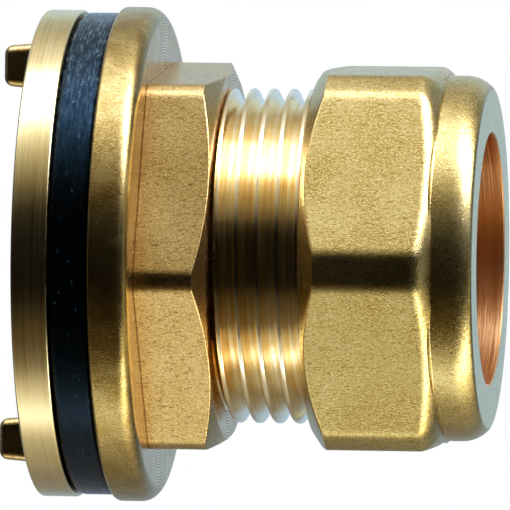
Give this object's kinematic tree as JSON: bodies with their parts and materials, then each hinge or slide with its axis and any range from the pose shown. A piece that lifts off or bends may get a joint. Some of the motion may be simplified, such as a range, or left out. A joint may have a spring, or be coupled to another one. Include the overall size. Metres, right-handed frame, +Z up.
{
  "type": "tank connector",
  "caption": "Brass tank connector: flanged threaded tail with rubber washer and lugged round backnut, spanner hexagon, and a compression nut with olive for copper pipe.",
  "frame": {"origin": "on the fitting's axis at the flange's sealing face, which is where the washer meets it and a point on the axis of the waterway", "axes": "+X along the axis towards the pipe, -X into the tank, +Z up, -Y the front that the picture shows"},
  "size_m": [0.0441, 0.0444, 0.0446],
  "materials": {
    "body_brass": "forged and turned, satin",
    "washer_rubber": "smooth moulded black",
    "backnut_brass": "turned rim, forged lugs",
    "nut_brass": "forged, satin",
    "olive_copper": "bright copper"
  },
  "bodies": {
    "fitting": {"body": "body_brass"},
    "olive_ring": {"olive": "olive_copper"},
    "pipe_nut": {"compression_nut": "nut_brass"},
    "washer": {"sealing_washer": "washer_rubber"},
    "tank_nut": {"backnut": "backnut_brass"}
  },
  "joints": [
    {"name": "pipe_nut_travel", "type": "slide", "parent": "fitting", "child": "olive_ring", "axis": [1, 0, 0], "range_m": [0, 0.00474]},
    {"name": "pipe_nut_turn", "type": "hinge", "parent": "olive_ring", "child": "pipe_nut", "pos_m": [0.0255, 0, 0], "axis": [1, 0, 0], "range_deg": [0, 940]},
    {"name": "tank_nut_travel", "type": "slide", "parent": "fitting", "child": "washer", "axis": [-1, 0, 0], "range_m": [0, 0.00424]},
    {"name": "tank_nut_turn", "type": "hinge", "parent": "washer", "child": "tank_nut", "pos_m": [-0.0052, 0, 0], "axis": [-1, 0, 0], "range_deg": [0, 840]}
  ],
  "couplings": [
    {"joint": "pipe_nut_travel", "follows": "pipe_nut_turn", "m_per_rad": 0.00028871},
    {"joint": "tank_nut_travel", "follows": "tank_nut_turn", "m_per_rad": 0.00028871}
  ]
}
